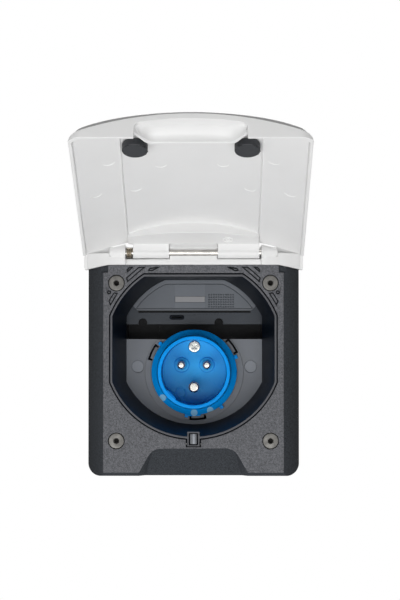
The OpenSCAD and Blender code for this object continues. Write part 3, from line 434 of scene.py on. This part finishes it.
def moulded(name, base, rough, grain, depth, contrast, specular):
    """Moulded plastic: the base colour and the gloss drift slowly, and the grain bumps the
    normal."""
    made = Finish(name)
    drift = made.group("mould_drift", DRIFT_SCALE)
    grained = made.group("moulded_grain", grain)
    made.set("Base Color", made.mix(drift["Tone"], tint(base, -contrast), tint(base, contrast)))
    made.set("Roughness", made.span(drift["Gloss"], 0.0, 1.0, rough - 0.04, rough + 0.04))
    made.set("Normal", made.bump(grained["Height"], depth))
    made.set("Specular IOR Level", specular)
    return made


def two_finish(name, base, smooth, plane, grain, depth, fleck, rough, smooth_rough, specular):
    """Moulded plastic whose flat front is grained and flecked, while all behind that plane has
    less grain and another colour."""
    made = Finish(name)
    front = made.span(made.axis("Y"), plane * MM, (plane + FRONT_FADE) * MM, 1.0, 0.0)
    drift = made.group("mould_drift", DRIFT_SCALE)
    grained = made.group("moulded_grain", grain)
    plain = made.mix(grained["Flecks"], tint(smooth, -fleck), tint(smooth, fleck))
    plain = made.mix(made.maths("MULTIPLY", drift["Tone"], 0.5), plain, tint(smooth, 0.1))
    flecked = made.mix(grained["Flecks"], tint(base, -fleck), tint(base, fleck))
    made.set("Base Color", made.mix(front, plain, flecked))
    made.set("Roughness", made.span(front, 0.0, 1.0, smooth_rough, rough))
    rise = made.maths("MULTIPLY", grained["Height"], made.span(front, 0.0, 1.0, 0.4, 1.0))
    made.set("Normal", made.bump(rise, depth))
    made.set("Specular IOR Level", specular)
    return made


def metal(name, base, rough, marks, depth):
    """Bare metal: fine marks bump the normal, and the tone and the roughness drift."""
    made = Finish(name)
    worked = made.group("worked_metal", marks)
    made.set("Base Color", made.mix(worked["Tone"], tint(base, -0.18), tint(base, 0.08)))
    made.set("Roughness", made.span(worked["Tone"], 0.0, 1.0, rough + 0.06, rough - 0.04))
    made.set("Normal", made.bump(worked["Height"], depth))
    made.set("Metallic", 1.0)
    return made


def spots(shade, centres, radius, inner=0.9):
    """Mask that is one inside any of a few discs about axes along Y, and falls to none from the
    inner share out."""
    flat = shade.vector("MULTIPLY", shade.place(), (1.0, 0.0, 1.0))[0]
    mask = 0.0
    for x, z in centres:
        away = shade.vector("DISTANCE", flat, (x * MM, 0.0, z * MM))["Value"]
        disc = shade.span(away, radius * MM * inner, radius * MM, 1.0, 0.0)
        mask = shade.maths("MAXIMUM", disc, mask)
    return mask


def field(shade, low, high, edge):
    """Mask that is one in a box of X and Z, with soft edges."""
    mask = 1.0
    for key, a, b in (("X", low[0], high[0]), ("Z", low[1], high[1])):
        along = shade.axis(key)
        rise = shade.span(along, a * MM, (a + edge) * MM, 0.0, 1.0)
        fall = shade.span(along, (b - edge) * MM, b * MM, 1.0, 0.0)
        mask = shade.maths("MULTIPLY", mask, shade.maths("MULTIPLY", rise, fall))
    return mask


def outward(shade, near, far, most):
    """Mask that grows with the distance from the middle plane X = 0, from none at near to most at
    far."""
    return shade.span(shade.maths("ABSOLUTE", shade.axis("X")), near * MM, far * MM, 0.0, most)


def behind(shade, plane, fade):
    """Mask that is one behind a plane across Y."""
    return shade.span(shade.axis("Y"), plane * MM, (plane + fade) * MM, 0.0, 1.0)


def reach(shade, near, far):
    """Mask that rises with the distance from the hinge along the open lid, from none at near to
    one at far."""
    ends = open_lid(np.array([[0.0, 0.0, 0.0], [0.0, 0.0, -1.0]]))
    arm = shade.vector("SUBTRACT", shade.place(), HINGE)[0]
    along = shade.vector("DOT_PRODUCT", arm, ends[1] - ends[0])["Value"]
    return shade.span(along, near * MM, far * MM, 0.0, 1.0)


def dress(node, material, edge):
    """Gives a CAD node its finish and soft edges: the corners are merged, then the sharp edges
    are rounded."""
    piece = NODES[node]
    mesh = piece.data
    mesh.materials.clear()
    mesh.materials.append(bpy.data.materials[material])
    mesh.polygons.foreach_set("use_smooth", np.ones(len(mesh.polygons), bool))
    weld = piece.modifiers.new("merge", "WELD")
    weld.merge_threshold = MERGE * MM
    soft = piece.modifiers.new("soft_edges", "BEVEL")
    soft.width = edge
    soft.segments = EDGE_SEGMENTS
    soft.limit_method = "ANGLE"
    soft.angle_limit = SHARP_ANGLE
    soft.use_clamp_overlap = False
    soft.miter_outer = "MITER_ARC"
    flat_faces(piece)


def dress_all(rows):
    """Dresses the nodes of one table."""
    _, sizes, _ = settings()
    for material, edge, share, nodes in rows:
        for node in nodes:
            dress(node, material, getattr(sizes, edge) * share)


def flat_faces(piece):
    """Keeps wide faces flat in the shading, so that only the soft edges turn the light."""
    flat = piece.modifiers.new("flat_faces", "WEIGHTED_NORMAL")
    flat.mode = "FACE_AREA"
    flat.weight = 100


def surface(name, grids, material, body, ring=False):
    """Grids of points made one mesh: each grid is rows by columns, closed round its columns and,
    as a ring, its rows."""
    faces, start = [], 0
    for points in grids:
        rows, columns = points.shape[:2]
        index = start + np.arange(rows * columns).reshape(rows, columns)
        index = np.concatenate([index, index[:, :1]], axis=1)
        if ring:
            index = np.concatenate([index, index[:1]], axis=0)
        around = (index[:-1, :-1], index[:-1, 1:], index[1:, 1:], index[1:, :-1])
        faces.append(np.stack(around, axis=-1).reshape(-1, 4))
        start += rows * columns
    points = np.concatenate([grid.reshape(-1, 3) for grid in grids])
    mesh = bpy.data.meshes.new(name)
    mesh.from_pydata(points.tolist(), [], np.concatenate(faces).tolist())
    work = bmesh.new()
    work.from_mesh(mesh)
    bmesh.ops.remove_doubles(work, verts=work.verts, dist=TINY * MM)
    bmesh.ops.dissolve_degenerate(work, edges=work.edges, dist=TINY * MM)
    bmesh.ops.recalc_face_normals(work, faces=work.faces)
    work.to_mesh(mesh)
    work.free()
    mesh.polygons.foreach_set("use_smooth", np.ones(len(mesh.polygons), bool))
    mesh.materials.append(bpy.data.materials[material])
    piece = bpy.data.objects.new(name, mesh)
    bpy.context.scene.collection.objects.link(piece)
    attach(piece, body)
    return piece


def screw_grid(x, z, columns=72):
    """One wall screw about an axis along Y: the radius follows a turned profile, a sixfold share
    of it follows a hexagon inside the socket, and along the thread it rises and falls once for
    each turn."""
    shank = [(y, THREAD_CORE, THREAD) for y in np.arange(THREAD_END, THREAD_START, -THREAD_STEP)]
    y, radius, kind = (np.array(v)[:, None] for v in zip(*SCREW_TIP, *shank, *SCREW_HEAD))
    turn = np.linspace(0.0, 2.0 * np.pi, columns, endpoint=False)[None, :]
    sixth = np.mod(turn - np.pi / 2.0, np.pi / 3.0) - np.pi / 6.0
    hexagon = math.cos(np.pi / 6.0) / np.cos(sixth)
    share = np.where(kind == THREAD, 0.0, kind)
    flank = np.abs(np.mod(y / THREAD_PITCH + turn / (2.0 * np.pi), 1.0) * 2.0 - 1.0)
    fade = np.clip((THREAD_END - y) / 1.5, 0.0, 1.0) * np.clip(y - THREAD_START, 0.0, 1.0)
    rise = THREAD_RISE * fade * np.clip(1.6 * flank - 0.3, 0.0, 1.0)
    radius = radius * (1.0 - share + share * hexagon) + (kind == THREAD) * rise
    along = np.broadcast_to(y, radius.shape)
    return np.stack([x + radius * np.cos(turn), along, z + radius * np.sin(turn)], axis=-1) * MM


def coil_grid(first, last, coil, wire, turns, steps=220, sides=14, start=0.6, taper=60.0):
    """A wound wire: a circle carried along a helix about the hinge axis, drawn in to a point at
    both ends."""
    t = np.linspace(0.0, 1.0, steps)[:, None]
    angle = 2.0 * np.pi * turns * t + start
    cos, sin = np.cos(angle), np.sin(angle)
    lead = np.full_like(angle, (last - first) / (2.0 * np.pi * turns))
    out = np.concatenate([np.zeros_like(angle), cos, sin], axis=1)
    along = np.concatenate([lead, -coil * sin, coil * cos], axis=1)
    along /= np.linalg.norm(along, axis=1, keepdims=True)
    side = np.cross(along, out)
    middle = np.concatenate([first + (last - first) * t, HINGE.y / MM + coil * cos,
                             HINGE.z / MM + coil * sin], axis=1)
    phi = np.linspace(0.0, 2.0 * np.pi, sides, endpoint=False)[None, :, None]
    thick = wire * np.sqrt(np.clip(np.minimum(t, 1.0 - t) * taper, 0.0, 1.0))[:, :, None]
    ring = np.cos(phi) * out[:, None] + np.sin(phi) * side[:, None]
    return (middle[:, None] + thick * ring) * MM


def open_lid(points):
    """Points of the closed lid, in millimetres, turned about the hinge to the open pose."""
    dy, dz = points[..., 1] - HINGE.y / MM, points[..., 2] - HINGE.z / MM
    turned = points.copy()
    turned[..., 1] = HINGE.y / MM + dy * math.cos(OPENING) + dz * math.sin(OPENING)
    turned[..., 2] = HINGE.z / MM - dy * math.sin(OPENING) + dz * math.cos(OPENING)
    return turned


def dome(x, inset=0.0):
    """Y of the arc of the dome, set in by a wall."""
    return SKIN_Y + DOME_R - np.sqrt((DOME_R - inset) ** 2 - x * x)


def skin_floor(x):
    """Y of the inside of the lid."""
    return dome(x, LID_WALL)


def leaf_floor(x):
    """Y of the flat hinge leaf."""
    return np.full_like(x, LEAF_Y)


def ridge_grid(place, radius, span, floor, width, height, steps=48, sides=10):
    """A low ridge on the inside of the lid: a flat oval carried along an arc in the plane of the
    lid, lying on the floor surface, and drawn in to a point at both ends unless the arc is a full
    circle."""
    full = span == FULL_SPAN
    t = np.linspace(0.0, 1.0, steps, endpoint=not full)[:, None]
    angle = np.radians(span[0] + (span[1] - span[0]) * t)
    beta = np.linspace(0.0, 2.0 * np.pi, sides, endpoint=False)[None, :]
    taper = np.sqrt(np.clip(1.0 - (2.0 * t - 1.0) ** 2, 0.0, 1.0))
    thin = np.ones_like(t) if full else taper
    reach_out = radius + width * thin * np.cos(beta)
    px, pz = place[0] + reach_out * np.cos(angle), place[1] + reach_out * np.sin(angle)
    grid = np.stack([px, floor(px) + height * thin * np.sin(beta), pz], axis=-1)
    return open_lid(grid) * MM


def skin_grid(inset=0.8, roll=1.3, crown=1.4, shoulder=0.95, bend=2.4, hinge_fade=12.0,
              side_fade=9.0, rows=120, columns=40):
    """The outer skin of the lid, whose crown is flatter than one arc: over the arc of the dome it
    swells most at three quarters of the half width, fades to none at the hinge, and rolls in at
    the free end. Its outside and its inside, which lies in the wall, meet at both ends and at
    both sides."""
    t = np.linspace(-1.0, 1.0, rows)[:, None]
    x = SKIN_HALF * t
    past = np.clip(np.abs(x) - (LID_HALF - LID_CORNER), 0.0, LID_CORNER)
    low = LID_LOW + LID_CORNER - np.sqrt(LID_CORNER ** 2 - past ** 2)
    s = np.linspace(0.0, 1.0, columns)[None, :] ** 2
    z = low + (LID_TOP - 1.0 - low) * s
    end = np.sqrt(1.0 - (1.0 - np.clip((z - low) / roll, 0.0, 1.0)) ** 2)
    swell = (crown + shoulder * np.sin(np.pi * np.abs(t) ** bend)) * (1.0 - s)
    base = inset * np.clip((1.0 - s) * hinge_fade, 0.0, 1.0)
    sides = np.sqrt(np.clip((1.0 - t * t) * side_fade, 0.0, 1.0))
    inside = dome(x) + inset + 0.0 * z
    outside = inside - end * (base + swell) * sides
    across = np.broadcast_to(x, z.shape)
    grid = np.concatenate([np.stack([across, outside, z], axis=-1),
                           np.stack([across, inside, z], axis=-1)[:, ::-1]], axis=1)
    return open_lid(grid) * MM


def scoop_grid(rows=96, columns=14, sunk=0.6, taper=14.0, turn_steps=9):
    """The hollow of the cable notch: a quarter round that rises from the floor of the notch to the
    edge of its wall, carried along the inside of that wall, and drawn in to a point at both
    ends."""
    turns = rounded(NOTCH_PATH, NOTCH_TURN, turn_steps)[turn_steps:3 * turn_steps]
    line = np.concatenate([[NOTCH_PATH[0]], turns, [NOTCH_PATH[-1]]])
    run = np.concatenate([[0.0], np.cumsum(np.linalg.norm(np.diff(line, axis=0), axis=1))])
    t = np.linspace(0.0, 1.0, rows)
    path = np.stack([np.interp(t * run[-1], run, line[:, k]) for k in (0, 1)], axis=-1)
    ahead = np.gradient(path, axis=0)
    ahead /= np.linalg.norm(ahead, axis=1, keepdims=True)
    inward = np.stack([ahead[:, 1], -ahead[:, 0]], axis=-1)
    thin = np.sqrt(np.clip(np.minimum(t, 1.0 - t) * taper, 0.0, 1.0))[:, None]
    radius = (NOTCH_EDGE - NOTCH_FLOOR - path[:, :1] ** 2 / (2.0 * DOME_R)) * thin
    phi = np.linspace(0.0, np.pi / 2.0, columns)[None, :]
    back = -sunk * thin
    across = np.concatenate([radius * (1.0 - np.sin(phi)), back, back, radius], axis=1)
    rise = np.concatenate([radius * (1.0 - np.cos(phi)), radius, back, back], axis=1)
    flat = path[:, None] + across[..., None] * inward[:, None]
    deep = NOTCH_FLOOR + flat[..., 0] ** 2 / (2.0 * DOME_R) + rise
    return open_lid(np.stack([flat[..., 0], deep, flat[..., 1]], axis=-1)) * MM


def rounded(corners, radius, steps=5):
    """A polygon with soft corners: each corner is a parabola between the points where its two
    sides leave it."""
    corner = np.array(corners)[:, None]
    before, after = np.roll(corner, 1, axis=0) - corner, np.roll(corner, -1, axis=0) - corner
    first = corner + radius * before / np.linalg.norm(before, axis=-1, keepdims=True)
    last = corner + radius * after / np.linalg.norm(after, axis=-1, keepdims=True)
    t = np.linspace(0.0, 1.0, steps)[None, :, None]
    curve = (1.0 - t) ** 2 * first + 2.0 * t * (1.0 - t) * corner + t * t * last
    return curve.reshape(-1, 2)


def bar_grid(corners, half, corner_round, soft=0.15, drawn=0.94):
    """A bar along X, in millimetres: a closed profile of Y and Z, measured from the hinge axis and
    with soft corners, is carried from end to end, drawn in a little at both ends and closed there
    to a point."""
    profile = rounded(corners, corner_round)
    middle = profile.mean(axis=0)
    share = np.array([0.0, drawn, 1.0, 1.0, drawn, 0.0])[:, None, None]
    along = np.array([-half, -half, soft - half, half - soft, half, half])[:, None, None]
    flat = middle + share * (profile - middle) + np.array([HINGE.y, HINGE.z]) / MM
    return np.concatenate([np.broadcast_to(along, (*flat.shape[:2], 1)), flat], axis=-1)


class INLET_OT_finishes(Operator):
    """Builds the shared shader groups and one material for each finish"""
    bl_idname = "inlet.finishes"
    bl_label = "Finishes"

    def execute(self, context):
        colours, sizes, _ = settings()
        grain = 1.0 / sizes.grain
        group_grain()
        group_drift()
        group_worked()
        made = {}
        for name, key, lighter, rough, share, depth, drift, specular in MOULDED:
            base = tint(getattr(colours, key), lighter)
            made[name] = moulded(name, base, rough, grain * share, depth * MM, drift, specular)
        for name, key, rough, marks, depth in METALS:
            made[name] = metal(name, getattr(colours, key), rough, marks, depth * MM)
        shell = two_finish("frame_grain", colours.frame_grey, colours.frame_smooth, FRAME_FRONT,
                           grain, depth=0.035 * MM, fleck=0.55, rough=0.6, smooth_rough=0.6,
                           specular=0.1)
        # Painted shade: the sides of the frame darken towards their outer edges, as if they were
        # more curved.
        shell.over(outward(shell, SIDE_SHADE_NEAR, SIDE_SHADE_FAR, 0.6), tint(colours.frame_smooth, -0.9))
        two_finish("funnel_satin", tint(colours.frame_grey, -0.15), colours.funnel_black,
                   FUNNEL_FRONT, grain, depth=0.01 * MM, fleck=0.1, rough=0.5,
                   smooth_rough=0.4, specular=0.08)
        self.shade_over(made, colours)
        return {"FINISHED"}

    def shade_over(self, made, colours):
        """Lays the second tones over the finishes that have them; most of them are painted shade or
        painted highlights.
        """
        tip = HINGE.z / MM - LID_LOW
        skin, panel, strip = made["skin_white"], made["panel_grey"], made["strip_grey"]
        tongue, blue, cover = made["tongue_grey"], made["inlet_blue"], made["cover_black"]
        head = made["screw_head"]
        # Painted shade: the skin of the lid darkens towards its rolled free edge, which turns up
        # away from the lamps.
        skin.over(reach(skin, tip - EDGE_SHADE_START, tip - EDGE_SHADE_FULL),
                  tint(colours.lid_white, -0.6))
        panel.over(field(panel, *PANEL_PALE, 0.25), tint(colours.panel_grey, 0.12))
        # Painted shade: all of the panel behind its front plane, in its pockets, is half as dark.
        panel.over(behind(panel, POCKET_SHADE_Y, POCKET_SHADE_FADE), tint(colours.panel_grey, -0.5))
        panel.over(field(panel, *PANEL_SHADE, 0.1), tint(colours.panel_grey, -0.9))
        strip.over(field(strip, *STRIP_SHADE, 0.1), tint(colours.strip_grey, -0.85))
        tongue.over(field(tongue, *TONGUE_SHINE, 0.5), tint(colours.panel_grey, 0.6))
        # Painted shade: the bore inside the shroud is darkened.
        blue.over(spots(blue, (INLET_AXIS,), BORE_R, 0.99), colours.bore_shade_blue)
        # Painted highlights: pale glint spots on the base of the inlet.
        blue.over(spots(blue, GLINT_SPOTS, GLINT_SPOT_R), colours.glint_blue)
        # Behind its painted dark front the cover takes the black of the pot.
        cover.over(behind(cover, COVER_INSIDE_Y, COVER_FADE), colours.pot_black)
        # Painted shade: the hex sockets of the wall screws are nearly black.
        head.over(spots(head, SCREWS, HEX_SHADE_R), tint(colours.steel, -0.94))


class INLET_OT_housing(Operator):
    """Dresses the frame, the funnel, the panels, the pot and the gland, and adds the pin's bed"""
    bl_idname = "inlet.housing"
    bl_label = "Housing"

    def execute(self, context):
        dress_all(HOUSING_DRESS)
        bed = bar_grid(*BED) * MM
        flat_faces(surface("pin_bed", [bed], "lid_white", HOUSING))
        return {"FINISHED"}


class INLET_OT_metal(Operator):
    """Dresses the pins and the terminals, and makes the wall screws and the wound spring"""
    bl_idname = "inlet.metal"
    bl_label = "Metal"

    def execute(self, context):
        _, sizes, _ = settings()
        dress_all(METAL_DRESS)
        screws = [screw_grid(x, z) for x, z in SCREWS]
        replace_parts(surface("wall_screws", screws, "screw_head", HOUSING), "frame_screws")
        coil = coil_grid(*SPRING_X, SPRING_R, sizes.wire / MM, SPRING_TURNS)
        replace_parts(surface("wound_spring", [coil], "spring_wire", HOUSING),
                    "hinge_spring")
        return {"FINISHED"}


class INLET_OT_lid(Operator):
    """Dresses the lid and its buffers, and adds the skin, the scoop, the lip and the mould marks"""
    bl_idname = "inlet.lid"
    bl_label = "Lid"

    def execute(self, context):
        dress_all(LID_DRESS)
        surface("notch_scoop", [scoop_grid()], "lid_white", LID)
        surface("lid_skin", [skin_grid()], "skin_white", LID)
        lip = open_lid(bar_grid(*LIP)) * MM
        flat_faces(surface("leaf_lip", [lip], "lid_white", LID))
        arcs = [ridge_grid(place, EJECTOR_R, EJECTOR_SPAN, skin_floor, EJECTOR_WIDE, EJECTOR_HIGH)
                for place in EJECTORS]
        surface("ejector_arcs", arcs, "mark_white", LID)
        rings = [ridge_grid(LEAF_RING, radius, FULL_SPAN, leaf_floor, LEAF_RING_WIDE,
                            LEAF_RING_HIGH) for radius in LEAF_RING_R]
        surface("leaf_rings", rings, "mark_white", LID, ring=True)
        return {"FINISHED"}


def area_lamp(name, place, aim, energy, width, height):
    """A soft box that looks at a point."""
    light = bpy.data.lights.new(name, "AREA")
    light.shape = "RECTANGLE"
    light.size, light.size_y = width, height
    light.energy = energy
    lamp = bpy.data.objects.new(name, light)
    bpy.context.scene.collection.objects.link(lamp)
    lamp.location = place
    lamp.rotation_euler = (Vector(aim) - Vector(place)).to_track_quat("-Z", "Y").to_euler()


class INLET_OT_stage(Operator):
    """Sets the floor, the even light, the lamps and the camera"""
    bl_idname = "inlet.stage"
    bl_label = "Stage"

    def execute(self, context):
        _, _, stage = settings()
        context.scene.view_settings.view_transform = "Standard"
        self.floor(stage)
        self.sky(stage)
        for name, place, aim, energy, width, height in LAMPS:
            area_lamp(name, place, aim, getattr(stage, energy), width, height)
        self.camera(stage)
        return {"FINISHED"}

    def floor(self, stage):
        """A wide pale floor that keeps the shadow near the object and is white further away."""
        low = CAD_BOX[0][2] - stage.floor_drop
        turns = ((-1, -1), (1, -1), (1, 1), (-1, 1))
        corners = [(FLOOR_HALF * x, FLOOR_HALF * y, low) for x, y in turns]
        mesh = bpy.data.meshes.new("floor")
        mesh.from_pydata(corners, [], [(0, 1, 2, 3)])
        made = Finish("floor_pale")
        made.set("Base Color", FLOOR_TONE)
        made.set("Roughness", FLOOR_ROUGH)
        glow = made.add("ShaderNodeEmission", {"Color": WHITE, "Strength": 1.0}).outputs[0]
        away = made.vector("LENGTH", made.place())["Value"]
        clear = made.span(away, SHADOW_NEAR, SHADOW_FAR, SHADOW_WHITE, 1.0)
        share = made.maths("MULTIPLY", made.seen(), clear)
        both = made.add("ShaderNodeMixShader", {0: share, 1: made.shader.outputs[0], 2: glow})
        made.put(made.end.inputs[0], both.outputs[0])
        mesh.materials.append(made.material)
        ground = bpy.data.objects.new("floor", mesh)
        bpy.context.scene.collection.objects.link(ground)

    def sky(self, stage):
        """Even light on the object and a white ground behind it."""
        world = bpy.data.worlds.new("studio")
        bpy.context.scene.world = world
        world.use_nodes = True
        shade = Shade(world.node_tree)
        strength = shade.span(shade.seen(), 0.0, 1.0, stage.sky, 1.0)
        back = shade.add("ShaderNodeBackground", {"Color": WHITE, "Strength": strength})
        shade.add("ShaderNodeOutputWorld", {0: back.outputs[0]})

    def camera(self, stage):
        """The camera stands at the eye, turned by yaw and tilted by pitch."""
        view = bpy.data.cameras.new("camera")
        view.lens = stage.lens
        view.sensor_width = SENSOR
        view.clip_end = CLIP_END
        eye = bpy.data.objects.new("camera", view)
        bpy.context.scene.collection.objects.link(eye)
        level = math.cos(stage.pitch)
        look = Vector((-math.sin(stage.yaw) * level, math.cos(stage.yaw) * level,
                       math.sin(stage.pitch)))
        eye.location = stage.eye
        eye.rotation_euler = look.to_track_quat("-Z", "Y").to_euler()
        bpy.context.scene.camera = eye


class INLET_PT_panel(Panel):
    """Lists the steps and the settings"""
    bl_label = "Outdoor inlet"
    bl_idname = "INLET_PT_panel"
    bl_space_type = "VIEW_3D"
    bl_region_type = "UI"
    bl_category = "Inlet"

    def draw(self, context):
        for step in STEPS:
            self.layout.operator(step.bl_idname)
        for group in settings():
            for name in group.bl_rna.properties.keys():
                if name not in ("name", "rna_type"):
                    self.layout.prop(group, name)


STEPS = (INLET_OT_finishes, INLET_OT_housing, INLET_OT_metal, INLET_OT_lid, INLET_OT_stage)
GROUPS = (("inlet_colours", InletColours), ("inlet_sizes", InletSizes),
          ("inlet_stage", InletStage))


def register():
    """Registers the settings, the steps and the panel."""
    for name, group in GROUPS:
        bpy.utils.register_class(group)
        setattr(bpy.types.Scene, name, PointerProperty(type=group))
    for step in (*STEPS, INLET_PT_panel):
        bpy.utils.register_class(step)


def unregister():
    """Takes the panel, the steps and the settings away again."""
    for step in (INLET_PT_panel, *STEPS[::-1]):
        bpy.utils.unregister_class(step)
    for name, group in GROUPS[::-1]:
        delattr(bpy.types.Scene, name)
        bpy.utils.unregister_class(group)


def main():
    """Runs every step."""
    register()
    bpy.ops.inlet.finishes()
    bpy.ops.inlet.housing()
    bpy.ops.inlet.metal()
    bpy.ops.inlet.lid()
    bpy.ops.inlet.stage()


if __name__ == "__main__":
    main()
